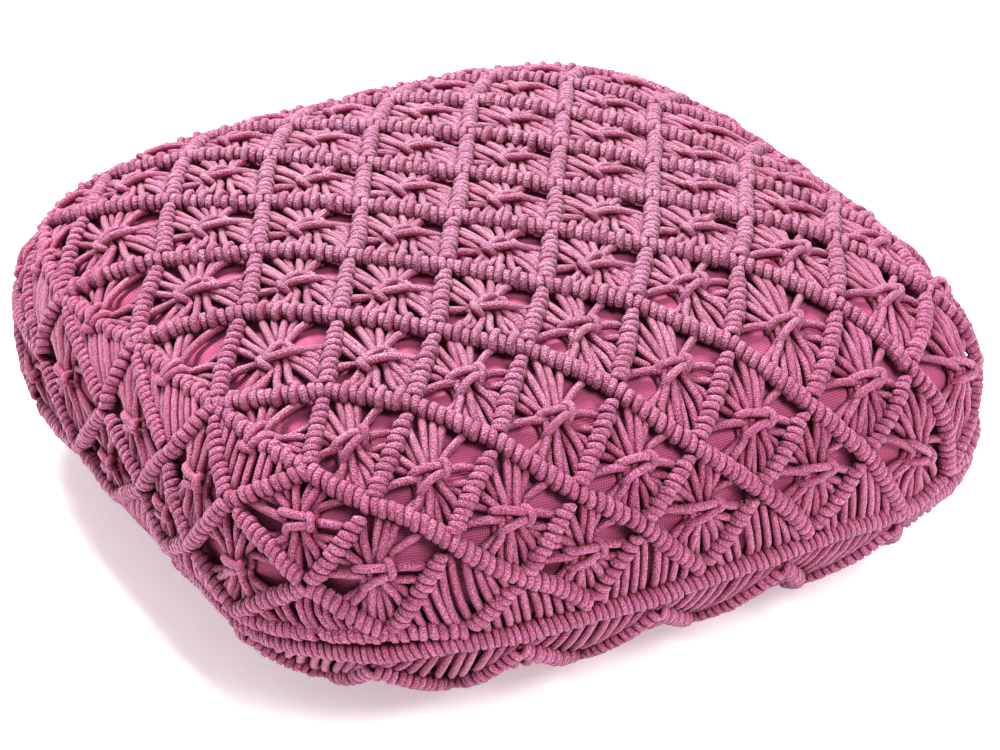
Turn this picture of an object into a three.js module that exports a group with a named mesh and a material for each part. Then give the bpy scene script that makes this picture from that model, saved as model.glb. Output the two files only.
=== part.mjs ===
// A square floor pouf: a filled woven casing inside a knotted macrame cover.
// Millimetres, +Z up, the front wall faces -Y, origin at the middle of the underside.
import * as THREE from 'three';

// Outer form of the cover, a soft box of rounded plan and crowned top
const HALF_WIDTH = 250;
const PLAN_ROUND = 3.68;
const WAIST_HEIGHT = 92;
const CROWN_RISE = 109.6;
const CROWN_ROUND = 2.5;
const BASE_DROP = 106.8;
const BASE_ROUND = 2.77;

// Depths below the outer form
const BAR_CREST = 0;
const CROSSING_RISE = 1.5;
const BAR_FOOT = -6;
const STRAND_RIDGE = -3;
const STRAND_VALLEY = -6.5;
const KNOT_RISE = 1.5;
const KNOT_RIM = -2;
const COVER_INSIDE = -10;
const PANEL_GAP = 0.6;
const FLOOR_CLEARANCE = 1;

// The filled casing, drawn in behind the cover and flat where it rests
const CASING_HALF_WIDTH = 236;
const CASING_CROWN_RISE = 96;
const CASING_BASE_DROP = 96;
const CASING_BASE_ROUND = 2.35;
const CASING_SIDES = 40;
const CASING_RINGS_UP = 7;
const CASING_RINGS_DOWN = 6;

// The knotted lattice of the strip that runs back wall, top, front wall.
// Along is measured over the top from its middle, the front being positive.
// Shift and pitch place the columns across, tilt slants the row, and the
// chain columns place the strip's two edges, where the side panels hang.
const STRIP_ROWS = [
  { along: -315, shift: 20, pitch: 35.5, tilt: 0.00, chainLeft: -222, chainRight: 222 },
  { along: -278, shift: 20, pitch: 35.5, tilt: 0.00, chainLeft: -222, chainRight: 222 },
  { along: -240, shift: 20, pitch: 35.5, tilt: 0.00, chainLeft: -215, chainRight: 215 },
  { along: -200, shift: 20, pitch: 35.5, tilt: 0.00, chainLeft: -208, chainRight: 208 },
  { along: -160, shift: 21, pitch: 35.5, tilt: -0.04, chainLeft: -225, chainRight: 220 },
  { along: -115, shift: 21, pitch: 35.3, tilt: -0.07, chainLeft: -235, chainRight: 228 },
  { along: -65, shift: 24, pitch: 35.0, tilt: -0.07, chainLeft: -235, chainRight: 230 },
  { along: -22, shift: 30, pitch: 34.6, tilt: -0.07, chainLeft: -232, chainRight: 230 },
  { along: 22, shift: 34, pitch: 34.8, tilt: -0.07, chainLeft: -228, chainRight: 230 },
  { along: 63, shift: 42, pitch: 35.9, tilt: -0.11, chainLeft: -223, chainRight: 228 },
  { along: 107, shift: 46, pitch: 36.3, tilt: -0.13, chainLeft: -214, chainRight: 224 },
  { along: 145, shift: 48, pitch: 37.1, tilt: -0.14, chainLeft: -204, chainRight: 216 },
  { along: 194, shift: 46, pitch: 38.3, tilt: -0.11, chainLeft: -215, chainRight: 222 },
  { along: 243, shift: 34, pitch: 37.2, tilt: -0.07, chainLeft: -225, chainRight: 224 },
  { along: 277, shift: 28, pitch: 36.0, tilt: 0.00, chainLeft: -224, chainRight: 222 },
  { along: 316, shift: 27, pitch: 34.8, tilt: 0.00, chainLeft: -222, chainRight: 220 },
];
const FIRST_COLUMN = -7;
const LAST_COLUMN = 5;
const FRONT_EDGE_ROW = 11;
const BACK_EDGE_ROW = 3;
const CORNER_SAG = 28;
const CORNER_SAG_COLUMNS = 3.5;

// The side panels hang from the strip's edge chains. Each row is one column of
// crossings, front to back: where its three levels lie along the wall.
const LEFT_COLUMNS = [
  { lowerY: -134, middleY: -190, footY: -155 },
  { lowerY: -65, middleY: -124, footY: -90 },
  { lowerY: 5, middleY: -55, footY: -15 },
  { lowerY: 115, middleY: 40, footY: 115 },
];
const RIGHT_COLUMNS = [
  { lowerY: -110, middleY: -190, footY: -140 },
  { lowerY: -30, middleY: -85, footY: -48 },
  { lowerY: 65, middleY: -10, footY: 42 },
  { lowerY: 145, middleY: 95, footY: 140 },
];
const SIDE_LOWER_HEIGHT = 131;
const SIDE_MIDDLE_HEIGHT = 103;

// The base band: a thick knotted bar, a short skirt and a hem by the floor.
// Ridges turn up and down from one station to the next, and braid lifts the
// stations where the skirt's two sets of slanting strands pass.
const BAR_HEIGHT = 70;
const BAR_HALF = 8;
const PANEL_FOOT_HEIGHT = BAR_HEIGHT + BAR_HALF + 1.5;
const BAND_STATIONS = 96;
const BRAID_REPEAT = 4;
const BAND_PROFILE = [
  { height: BAR_HEIGHT + BAR_HALF, depth: -8, ridge: 0 },
  { height: BAR_HEIGHT + 5, depth: -1, ridge: 1 },
  { height: BAR_HEIGHT - 5, depth: -1, ridge: 1 },
  { height: BAR_HEIGHT - BAR_HALF, depth: -7, ridge: 0 },
  { height: 52, depth: -6.5, braid: 3 },
  { height: 42, depth: -6.5, braid: 3 },
  { height: 32, depth: -6.5, braid: 3 },
  { height: 22, depth: -7, ridge: 0 },
  { height: 15, depth: -2, ridge: 1 },
  { height: 4, depth: -2, ridge: 1 },
  { height: 3, depth: -9, ridge: 0 },
  { height: 20, depth: -11, ridge: 0 },
  { height: 42, depth: -11, ridge: 0 },
  { height: BAR_HEIGHT + BAR_HALF, depth: -10, ridge: 0 },
];

// Where the marks of one diamond lie, in shares of its half width and half height
const BAR_SHARE = 0.8;
const GAP_SHARE = 0.18;
const FIRST_RIDGE_SHARE = 0.35;
const VALLEY_SHARE = 0.5;
const SECOND_RIDGE_SHARE = 0.66;
const KNOT_HALF_WIDTH_SHARE = 0.15;
const KNOT_HALF_HEIGHT_SHARE = 0.13;

const NUMERIC_STEP = 0.01;
const PROFILE_STEPS = 1500;

// The soft box as an implicit form: 1 on its surface, less inside
function planReach(x, y, halfWidth) {
  const sum = Math.abs(x / halfWidth) ** PLAN_ROUND + Math.abs(y / halfWidth) ** PLAN_ROUND;
  return sum ** (1 / PLAN_ROUND);
}

function coverReach(point) {
  const above = point.z > WAIST_HEIGHT;
  const rise = above ? CROWN_RISE : BASE_DROP;
  const round = above ? CROWN_ROUND : BASE_ROUND;
  const plan = planReach(point.x, point.y, HALF_WIDTH);
  return (plan ** round + Math.abs((point.z - WAIST_HEIGHT) / rise) ** round) ** (1 / round);
}

function outward(point) {
  const slope = new THREE.Vector3();
  for (const axis of ['x', 'y', 'z']) {
    const ahead = point.clone();
    const behind = point.clone();
    ahead[axis] += NUMERIC_STEP;
    behind[axis] -= NUMERIC_STEP;
    slope[axis] = coverReach(ahead) - coverReach(behind);
  }
  return slope.normalize();
}

// Carries a point straight out from the middle of the pouf to the outer form
function ontoCover(point) {
  const middle = new THREE.Vector3(0, 0, WAIST_HEIGHT);
  const ray = point.clone().sub(middle);
  return ray.divideScalar(coverReach(point)).add(middle);
}

function atDepth(point, depth) {
  const surface = ontoCover(point);
  return surface.addScaledVector(outward(surface), depth);
}

// The outline of the middle section, as lengths along it from the top
function middleSection() {
  const marks = [{ length: 0, y: 0, z: WAIST_HEIGHT + CROWN_RISE }];
  for (const half of ['crown', 'base']) {
    const round = half === 'crown' ? CROWN_ROUND : BASE_ROUND;
    for (let step = 1; step <= PROFILE_STEPS; step += 1) {
      const turn = (step / PROFILE_STEPS) * (Math.PI / 2);
      const across = half === 'crown' ? Math.sin(turn) : Math.cos(turn);
      const upright = half === 'crown' ? Math.cos(turn) : -Math.sin(turn);
      const rise = half === 'crown' ? CROWN_RISE : BASE_DROP;
      const y = HALF_WIDTH * across ** (2 / round);
      const z = WAIST_HEIGHT + Math.sign(upright) * rise * Math.abs(upright) ** (2 / round);
      const last = marks[marks.length - 1];
      marks.push({ length: last.length + Math.hypot(y - last.y, z - last.z), y, z });
    }
  }
  return marks;
}

const SECTION = middleSection();

function sectionAt(length) {
  const wanted = Math.abs(length);
  let low = 0;
  let high = SECTION.length - 1;
  while (high - low > 1) {
    const middle = (low + high) >> 1;
    if (SECTION[middle].length > wanted) high = middle;
    else low = middle;
  }
  const from = SECTION[low];
  const to = SECTION[high];
  const share = (wanted - from.length) / (to.length - from.length);
  const run = Math.hypot(to.y - from.y, to.z - from.z);
  return {
    y: from.y + share * (to.y - from.y),
    z: from.z + share * (to.z - from.z),
    normalY: -(to.z - from.z) / run,
    normalZ: (to.y - from.y) / run,
  };
}

// A point of the strip: so far across, and so far along over the top
function stripPoint(across, along) {
  const side = along < 0 ? 1 : -1;
  const section = sectionAt(along);
  const x = Math.sign(across) * sectionAt(across).y;
  let inside = HALF_WIDTH;
  let outside = 0;
  const point = new THREE.Vector3();
  for (let step = 0; step < 40; step += 1) {
    const drop = (inside + outside) / 2;
    point.set(x, side * (section.y - drop * section.normalY), section.z - drop * section.normalZ);
    if (coverReach(point) < 1) inside = drop;
    else outside = drop;
  }
  return ontoCover(point);
}

// A point of a side wall at a given place and height
function sidePoint(side, y, z) {
  const above = z > WAIST_HEIGHT;
  const rise = above ? CROWN_RISE : BASE_DROP;
  const round = above ? CROWN_ROUND : BASE_ROUND;
  const plan = (1 - Math.abs((z - WAIST_HEIGHT) / rise) ** round) ** (1 / round);
  const rest = plan ** PLAN_ROUND - Math.abs(y / HALF_WIDTH) ** PLAN_ROUND;
  return new THREE.Vector3(side * HALF_WIDTH * rest ** (1 / PLAN_ROUND), y, z);
}

// Crossings of the strip's bars
function cornerSag(column, row) {
  if (row !== STRIP_ROWS.length - 2) return 0;
  const nearest = Math.min(column - FIRST_COLUMN, LAST_COLUMN - column) - 1;
  return CORNER_SAG * Math.max(0, 1 - nearest / CORNER_SAG_COLUMNS);
}

function crossing(column, row) {
  const line = STRIP_ROWS[row];
  let across = line.shift + line.pitch * column;
  if (column === FIRST_COLUMN) across = line.chainLeft;
  if (column === LAST_COLUMN) across = line.chainRight;
  return stripPoint(across, line.along + line.tilt * across + cornerSag(column, row));
}

// One knotted panel: a sheet of diamonds with raised bars and strands,
// its outside and inside joined around every gap and along its rim.
class Panel {
  constructor() {
    this.points = [];
    this.names = new Map();
    this.twins = new Map();
    this.outside = [];
    this.inside = [];
    this.rim = new Set();
  }

  // A mark on the outside at a depth, and its twin on the inside
  mark(name, place, depth, isRim = false) {
    if (this.names.has(name)) return this.names.get(name);
    const index = this.points.length;
    this.points.push(atDepth(place, depth));
    this.points.push(atDepth(place, COVER_INSIDE));
    this.names.set(name, index);
    this.twins.set(index, index + 1);
    if (isRim) this.rim.add(index);
    return index;
  }

  faceOut(a, b, c) {
    const [p, q, r] = [a, b, c].map((index) => this.points[index]);
    const normal = q.clone().sub(p).cross(r.clone().sub(p));
    const middle = p.clone().add(q).add(r).divideScalar(3);
    return normal.dot(outward(middle)) > 0 ? [a, b, c] : [a, c, b];
  }

  addOutside(...face) {
    this.outside.push(this.faceOut(...face));
  }

  addInside(...face) {
    const [a, b, c] = this.faceOut(...face);
    this.inside.push([this.twins.get(a), this.twins.get(c), this.twins.get(b)]);
  }

  addBoth(...face) {
    this.addOutside(...face);
    this.addInside(...face);
  }

  // Edges of the outside that only one face uses
  openEdges() {
    const edges = new Map();
    for (const face of this.outside) {
      for (let side = 0; side < 3; side += 1) {
        const from = face[side];
        const to = face[(side + 1) % 3];
        const back = `${to}-${from}`;
        if (edges.has(back)) edges.delete(back);
        else edges.set(`${from}-${to}`, [from, to]);
      }
    }
    return [...edges.values()];
  }

  // Draws the rim in a little, so that neighbouring panels stand clear
  drawInRim(edges) {
    const pulls = new Map();
    for (const [from, to] of edges) {
      if (!this.rim.has(from) || !this.rim.has(to)) continue;
      const along = this.points[to].clone().sub(this.points[from]).normalize();
      const inwards = outward(this.points[from]).cross(along).normalize();
      for (const index of [from, to]) {
        if (!pulls.has(index)) pulls.set(index, []);
        pulls.get(index).push(inwards);
      }
    }
    for (const [index, [first, second]] of pulls) {
      const pull = first.clone().add(second);
      pull.multiplyScalar(PANEL_GAP / (1 + first.dot(second)));
      this.points[index].add(pull);
      this.points[this.twins.get(index)].add(pull);
    }
  }

  geometry() {
    const edges = this.openEdges();
    this.drawInRim(edges);
    const faces = [...this.outside, ...this.inside];
    for (const [from, to] of edges) {
      faces.push([to, from, this.twins.get(from)]);
      faces.push([to, this.twins.get(from), this.twins.get(to)]);
    }
    return solid(this.points, faces);
  }
}

function solid(points, faces) {
  const used = new Map();
  const positions = [];
  const index = faces.flat().map((old) => {
    if (!used.has(old)) {
      used.set(old, used.size);
      positions.push(...points[old].toArray());
    }
    return used.get(old);
  });
  const geometry = new THREE.BufferGeometry();
  geometry.setAttribute('position', new THREE.Float32BufferAttribute(positions, 3));
  geometry.setIndex(index);
  return geometry;
}

// A diamond between four crossings, each with a name and a place. A missing
// crossing of a half diamond is set across the others, so its cut is straight.
class Diamond {
  constructor(panel, corners) {
    this.panel = panel;
    this.corners = corners;
    this.id = Object.values(corners).map((corner) => corner.name).join('|');
    const place = (key) => corners[key]?.place;
    const beyond = (a, b, c) => a.clone().add(b).sub(c);
    this.top = place('top') ?? beyond(place('left'), place('right'), place('bottom'));
    this.bottom = place('bottom') ?? beyond(place('left'), place('right'), place('top'));
    this.left = place('left') ?? beyond(place('top'), place('bottom'), place('right'));
    this.right = place('right') ?? beyond(place('top'), place('bottom'), place('left'));
  }

  place(across, down) {
    const s = (1 + across + down) / 2;
    const t = (1 - across + down) / 2;
    return this.top.clone().multiplyScalar((1 - s) * (1 - t))
      .addScaledVector(this.right, s * (1 - t))
      .addScaledVector(this.left, (1 - s) * t)
      .addScaledVector(this.bottom, s * t);
  }

  corner(key) {
    const { name } = this.corners[key];
    return this.panel.mark(name, this.corners[key].place, BAR_CREST + CROSSING_RISE, true);
  }

  // The middle of the bar between two corners
  barMiddle(keyA, keyB, depth = BAR_CREST) {
    const names = [this.corners[keyA].name, this.corners[keyB].name].sort();
    const middle = this[keyA].clone().add(this[keyB]).divideScalar(2);
    return this.panel.mark(names.join('~'), middle, depth, true);
  }

  inner(label, across, down, depth, isRim = false) {
    const name = `${this.id}:${label}:${across.toFixed(3)}:${down.toFixed(3)}`;
    return this.panel.mark(name, this.place(across, down), depth, isRim);
  }

  // A quarter of a star: the strands that run from one bar to the knot
  starQuarter(sideKey, endKey, onCut) {
    const panel = this.panel;
    const acrossSign = sideKey === 'right' ? 1 : -1;
    const downSign = endKey === 'bottom' ? 1 : -1;
    const at = (label, across, down, depth, rim) => (
      this.inner(label, acrossSign * across, downSign * down, depth, rim));
    const along = (label, share, depth) => (
      at(label, BAR_SHARE * (1 - share), BAR_SHARE * share, depth));
    const cutDepth = (depth) => (onCut ? BAR_CREST : depth);
    const side = this.corner(sideKey);
    const end = this.corner(endKey);
    const middle = this.barMiddle(sideKey, endKey);
    const gapTip = at('tip', BAR_SHARE, 0, BAR_FOOT);
    const gapEdge = along('edge', GAP_SHARE / BAR_SHARE, BAR_FOOT);
    const ridge = along('ridge', FIRST_RIDGE_SHARE, STRAND_RIDGE);
    const valley = along('valley', VALLEY_SHARE, STRAND_VALLEY);
    const secondRidge = along('second', SECOND_RIDGE_SHARE, STRAND_RIDGE);
    const endValley = at('end', 0, BAR_SHARE, cutDepth(STRAND_VALLEY), onCut);
    const knotSide = at('knot', KNOT_HALF_WIDTH_SHARE, 0, KNOT_RIM);
    const knotEnd = at('knot', 0, KNOT_HALF_HEIGHT_SHARE, cutDepth(KNOT_RIM), onCut);
    const knot = at('knot', 0, 0, cutDepth(KNOT_RISE), onCut);
    const strands = [
      [side, gapTip, gapEdge], [side, gapEdge, middle], [middle, gapEdge, ridge],
      [middle, ridge, valley], [middle, valley, secondRidge], [middle, secondRidge, end],
      [end, secondRidge, endValley], [gapEdge, knotSide, ridge], [ridge, knotSide, valley],
      [valley, knotSide, knotEnd], [valley, knotEnd, secondRidge],
      [secondRidge, knotEnd, endValley], [knotSide, knot, knotEnd],
    ];
    strands.forEach((face) => (onCut ? panel.addBoth(...face) : panel.addOutside(...face)));
    if (onCut) return;
    panel.addInside(side, gapTip, gapEdge);
    panel.addInside(side, gapEdge, middle);
    panel.addInside(middle, gapEdge, knotSide);
    panel.addInside(middle, knotSide, end);
  }

  star() {
    for (const sideKey of ['left', 'right']) {
      for (const endKey of ['top', 'bottom']) this.starQuarter(sideKey, endKey, false);
    }
    const knots = [-1, 1].map((sign) => (
      this.inner('knot', sign * KNOT_HALF_WIDTH_SHARE, 0, KNOT_RIM)));
    this.panel.addInside(this.corner('top'), ...knots);
    this.panel.addInside(this.corner('bottom'), ...knots);
  }

  halfStar(sideKey) {
    this.starQuarter(sideKey, 'top', true);
    this.starQuarter(sideKey, 'bottom', true);
  }

  // One bar and the strand ends along it, from a side corner to an end corner
  strandEnds(sideKey, endKey, ends) {
    const side = this.corner(sideKey);
    const end = this.corner(endKey);
    const middle = this.barMiddle(sideKey, endKey);
    this.panel.addOutside(side, ends[0], middle);
    for (let step = 0; step + 1 < ends.length; step += 1) {
      this.panel.addOutside(middle, ends[step], ends[step + 1]);
    }
    this.panel.addOutside(middle, ends[ends.length - 1], end);
  }

  // Straight strands side by side, down through a whole diamond
  straight() {
    const shares = [-1, -0.67, -0.33, 0, 0.33, 0.67, 1];
    const depths = [BAR_FOOT, STRAND_RIDGE, STRAND_VALLEY, STRAND_RIDGE,
      STRAND_VALLEY, STRAND_RIDGE, BAR_FOOT];
    const line = (sign) => shares.map((share, step) => this.inner('straight',
      BAR_SHARE * share, sign * BAR_SHARE * (1 - Math.abs(share)), depths[step]));
    const upper = line(-1);
    const lower = line(1);
    this.between(upper, lower);
    this.strandEnds('left', 'top', upper.slice(0, 4));
    this.strandEnds('right', 'top', upper.slice(3).reverse());
    this.strandEnds('left', 'bottom', lower.slice(0, 4));
    this.strandEnds('right', 'bottom', lower.slice(3).reverse());
    const ring = ['left', 'top', 'right', 'bottom'];
    const middles = ring.map((key, step) => this.barMiddle(key, ring[(step + 1) % 4]));
    ring.forEach((key, step) => {
      this.panel.addInside(this.corner(key), middles[step], middles[(step + 3) % 4]);
    });
    this.panel.addInside(middles[0], middles[1], middles[2]);
    this.panel.addInside(middles[0], middles[2], middles[3]);
  }

  between(first, second) {
    for (let step = 0; step + 1 < first.length; step += 1) {
      const [a, b, c, d] = [first[step], first[step + 1], second[step + 1], second[step]];
      if (a !== d) this.panel.addOutside(a, b, d);
      if (b !== c) this.panel.addOutside(b, c, d);
    }
  }

  // Straight strands in half a diamond, between two bars and a straight edge
  halfStraight(endKey, edgeDepth) {
    const sign = endKey === 'bottom' ? 1 : -1;
    const edgeShare = 0.1;
    const reach = BAR_SHARE + 0.04 - edgeShare;
    const shares = [-1, -0.67, -0.33, 0, 0.33, 0.67, 1];
    const depths = [BAR_FOOT, STRAND_RIDGE, STRAND_VALLEY, STRAND_RIDGE,
      STRAND_VALLEY, STRAND_RIDGE, BAR_FOOT];
    const along = (down) => shares.map((share, step) => this.inner('half',
      reach * share, sign * down(Math.abs(share)), depths[step]));
    const edge = along(() => edgeShare);
    const ends = along((share) => edgeShare + reach * (1 - share));
    const middle = this.barMiddle('left', 'right', edgeDepth);
    const [left, right] = [this.edgeCorner('left', edgeDepth), this.edgeCorner('right', edgeDepth)];
    this.between(edge, ends);
    this.panel.addOutside(left, edge[0], middle);
    for (let step = 0; step + 1 < edge.length; step += 1) {
      this.panel.addOutside(middle, edge[step], edge[step + 1]);
    }
    this.panel.addOutside(middle, edge[edge.length - 1], right);
    this.strandEnds('left', endKey, ends.slice(0, 4));
    this.strandEnds('right', endKey, ends.slice(3).reverse());
    const sides = [this.barMiddle('left', endKey), this.barMiddle('right', endKey)];
    this.panel.addInside(left, middle, sides[0]);
    this.panel.addInside(right, middle, sides[1]);
    this.panel.addInside(middle, ...sides);
    this.panel.addInside(this.corner(endKey), ...sides);
  }

  edgeCorner(key, depth) {
    const { name, place } = this.corners[key];
    return this.panel.mark(name, place, depth, true);
  }
}

function stripCorner(column, row) {
  return { name: `strip ${column} ${row}`, place: crossing(column, row) };
}

// Crossings of a side panel, counted from the front. Its top and its outer
// ones belong to the strip.
function chainCorner(side, step) {
  return stripCorner(side < 0 ? FIRST_COLUMN : LAST_COLUMN, FRONT_EDGE_ROW - 2 * step);
}

function sideCorner(side, level, step) {
  const edge = side < 0 ? FIRST_COLUMN : LAST_COLUMN;
  if (level === 'middle' && step === 0) return stripCorner(edge, FRONT_EDGE_ROW + 2);
  if (level === 'middle' && step === 4) return stripCorner(edge, BACK_EDGE_ROW - 2);
  const column = (side < 0 ? LEFT_COLUMNS : RIGHT_COLUMNS)[step];
  const places = {
    lower: [column.lowerY, SIDE_LOWER_HEIGHT],
    middle: [column.middleY, SIDE_MIDDLE_HEIGHT],
    foot: [column.footY, PANEL_FOOT_HEIGHT],
  };
  return { name: `side ${side} ${level} ${step}`, place: sidePoint(side, ...places[level]) };
}

// The strip, with the stars that sit on the pouf's four corners
function stripPanel() {
  const panel = new Panel();
  const lastRow = STRIP_ROWS.length - 1;
  for (let row = 1; row < lastRow; row += 1) {
    for (let column = FIRST_COLUMN; column <= LAST_COLUMN; column += 1) {
      if ((column + row) % 2 !== 0) addStripDiamond(panel, column, row);
    }
  }
  for (let column = FIRST_COLUMN; column <= LAST_COLUMN; column += 1) {
    const atFront = column % 2 === 0;
    const row = atFront ? lastRow : 0;
    const endKey = atFront ? 'top' : 'bottom';
    const onLeft = column === FIRST_COLUMN;
    const onRight = column === LAST_COLUMN;
    new Diamond(panel, {
      left: onLeft ? sideCorner(-1, 'foot', 3) : stripCorner(column - 1, row),
      right: onRight ? sideCorner(1, 'foot', 3) : stripCorner(column + 1, row),
      [endKey]: stripCorner(column, atFront ? lastRow - 1 : 1),
    }).halfStraight(endKey, BAR_FOOT);
  }
  return panel.geometry();
}

function addStripDiamond(panel, column, row) {
  const corners = {
    top: stripCorner(column, row - 1),
    bottom: stripCorner(column, row + 1),
  };
  const onLeft = column === FIRST_COLUMN;
  const onRight = column === LAST_COLUMN;
  if (!onLeft) corners.left = stripCorner(column - 1, row);
  if (!onRight) corners.right = stripCorner(column + 1, row);
  if (onLeft || onRight) {
    const side = onLeft ? -1 : 1;
    const sideKey = onLeft ? 'left' : 'right';
    if (row === FRONT_EDGE_ROW + 1) corners[sideKey] = sideCorner(side, 'lower', 0);
    if (row === FRONT_EDGE_ROW + 3) corners[sideKey] = sideCorner(side, 'foot', 0);
    if (row === BACK_EDGE_ROW - 1) corners[sideKey] = sideCorner(side, 'lower', 3);
  }
  const diamond = new Diamond(panel, corners);
  const fromEdge = Math.min(column - FIRST_COLUMN, LAST_COLUMN - column);
  if (row === FRONT_EDGE_ROW + 3 && fromEdge <= 2) diamond.straight();
  else if (corners.left && corners.right) diamond.star();
  else diamond.halfStar(onLeft ? 'right' : 'left');
}

function sidePanel(side) {
  const panel = new Panel();
  const [frontKey, backKey] = side < 0 ? ['right', 'left'] : ['left', 'right'];
  for (let step = 0; step < 4; step += 1) {
    new Diamond(panel, {
      [frontKey]: chainCorner(side, step),
      [backKey]: chainCorner(side, step + 1),
      bottom: sideCorner(side, 'lower', step),
    }).halfStraight('bottom', BAR_CREST);
    new Diamond(panel, {
      top: sideCorner(side, 'lower', step),
      [frontKey]: sideCorner(side, 'middle', step),
      [backKey]: sideCorner(side, 'middle', step + 1),
      bottom: sideCorner(side, 'foot', step),
    }).star();
  }
  for (let step = 1; step < 4; step += 1) {
    new Diamond(panel, {
      top: chainCorner(side, step),
      [frontKey]: sideCorner(side, 'lower', step - 1),
      [backKey]: sideCorner(side, 'lower', step),
      bottom: sideCorner(side, 'middle', step),
    }).star();
    new Diamond(panel, {
      top: sideCorner(side, 'middle', step),
      [frontKey]: sideCorner(side, 'foot', step - 1),
      [backKey]: sideCorner(side, 'foot', step),
    }).halfStraight('top', BAR_FOOT);
  }
  return panel.geometry();
}

// Closed rings of points joined into one skin
function joinRings(rings, isLoop) {
  const faces = [];
  const count = rings[0].length;
  const last = isLoop ? rings.length : rings.length - 1;
  for (let ring = 0; ring < last; ring += 1) {
    for (let step = 0; step < count; step += 1) {
      const next = (step + 1) % count;
      const above = ring * count;
      const below = ((ring + 1) % rings.length) * count;
      faces.push([above + step, below + step, below + next]);
      faces.push([above + step, below + next, above + next]);
    }
  }
  return faces;
}

function ringPoint(turn, height, plan, halfWidth) {
  const [x, y] = [Math.cos(turn), Math.sin(turn)];
  const scale = plan / planReach(x, y, halfWidth);
  return new THREE.Vector3(x * scale, y * scale, height);
}

function bandLift({ ridge = 0, braid = 0 }, row, station) {
  if (braid) {
    const rising = (station + row) % BRAID_REPEAT === 0;
    const falling = (station + (BRAID_REPEAT - 1) * row) % BRAID_REPEAT === 0;
    return rising || falling ? braid : 0;
  }
  return station % 2 === 0 ? ridge : -ridge;
}

function baseBand() {
  const rings = BAND_PROFILE.map((line, row) => {
    const fall = Math.abs((line.height - WAIST_HEIGHT) / BASE_DROP);
    const plan = (1 - fall ** BASE_ROUND) ** (1 / BASE_ROUND);
    const points = [];
    for (let station = 0; station < BAND_STATIONS; station += 1) {
      const turn = (station / BAND_STATIONS) * 2 * Math.PI;
      const surface = ringPoint(turn, line.height, plan, HALF_WIDTH);
      const lift = line.depth + bandLift(line, row, station);
      const point = surface.clone().addScaledVector(outward(surface), lift);
      point.z = Math.max(point.z, FLOOR_CLEARANCE);
      points.push(point);
    }
    return points;
  });
  return solid(rings.flat(), joinRings(rings, true));
}

function casing() {
  const rings = [];
  const addRing = (plan, height) => {
    const points = [];
    for (let step = 0; step < CASING_SIDES; step += 1) {
      const turn = ((step + 0.5) / CASING_SIDES) * 2 * Math.PI;
      points.push(ringPoint(turn, height, plan, CASING_HALF_WIDTH));
    }
    rings.push(points);
  };
  for (let ring = 1; ring <= CASING_RINGS_UP; ring += 1) {
    const turn = (ring / CASING_RINGS_UP) * (Math.PI / 2);
    addRing(Math.sin(turn) ** (2 / CROWN_ROUND),
      WAIST_HEIGHT + CASING_CROWN_RISE * Math.cos(turn) ** (2 / CROWN_ROUND));
  }
  const floorShare = WAIST_HEIGHT / CASING_BASE_DROP;
  const lastTurn = Math.asin(floorShare ** (CASING_BASE_ROUND / 2));
  for (let ring = 1; ring <= CASING_RINGS_DOWN; ring += 1) {
    const turn = (ring / CASING_RINGS_DOWN) * lastTurn;
    addRing(Math.cos(turn) ** (2 / CASING_BASE_ROUND),
      WAIST_HEIGHT - CASING_BASE_DROP * Math.sin(turn) ** (2 / CASING_BASE_ROUND));
  }
  const points = rings.flat();
  const faces = joinRings(rings, false);
  const top = points.length;
  const bottom = top + 1;
  points.push(new THREE.Vector3(0, 0, WAIST_HEIGHT + CASING_CROWN_RISE));
  points.push(new THREE.Vector3(0, 0, 0));
  const lastRing = (rings.length - 1) * CASING_SIDES;
  for (let step = 0; step < CASING_SIDES; step += 1) {
    const next = (step + 1) % CASING_SIDES;
    faces.push([top, step, next]);
    faces.push([bottom, lastRing + next, lastRing + step]);
  }
  return solid(points, faces);
}

function cottonMesh(name, geometry, color) {
  const material = new THREE.MeshStandardMaterial({ color, roughness: 0.9, metalness: 0 });
  material.side = THREE.FrontSide;
  geometry.computeVertexNormals();
  const mesh = new THREE.Mesh(geometry, material);
  mesh.name = name;
  return mesh;
}

const CORD_PINK = 0xc4688a;
const CASING_PINK = 0xb04a72;

const pouf = new THREE.Group();
pouf.add(cottonMesh('casing', casing(), CASING_PINK));
pouf.add(cottonMesh('macrame_strip', stripPanel(), CORD_PINK));
pouf.add(cottonMesh('macrame_side_left', sidePanel(-1), CORD_PINK));
pouf.add(cottonMesh('macrame_side_right', sidePanel(1), CORD_PINK));
pouf.add(cottonMesh('macrame_base_band', baseBand(), CORD_PINK));

export default pouf;
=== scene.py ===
# A square floor pouf: a woven casing inside a knotted cover of cotton cord.
# Shapes are worked out in millimetres and set down in metres. +Z is up, the
# front wall faces -Y, and the origin is at the middle of the underside.
import math

import bmesh
import bpy
import numpy as np
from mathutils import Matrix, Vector
from mathutils.kdtree import KDTree


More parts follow.
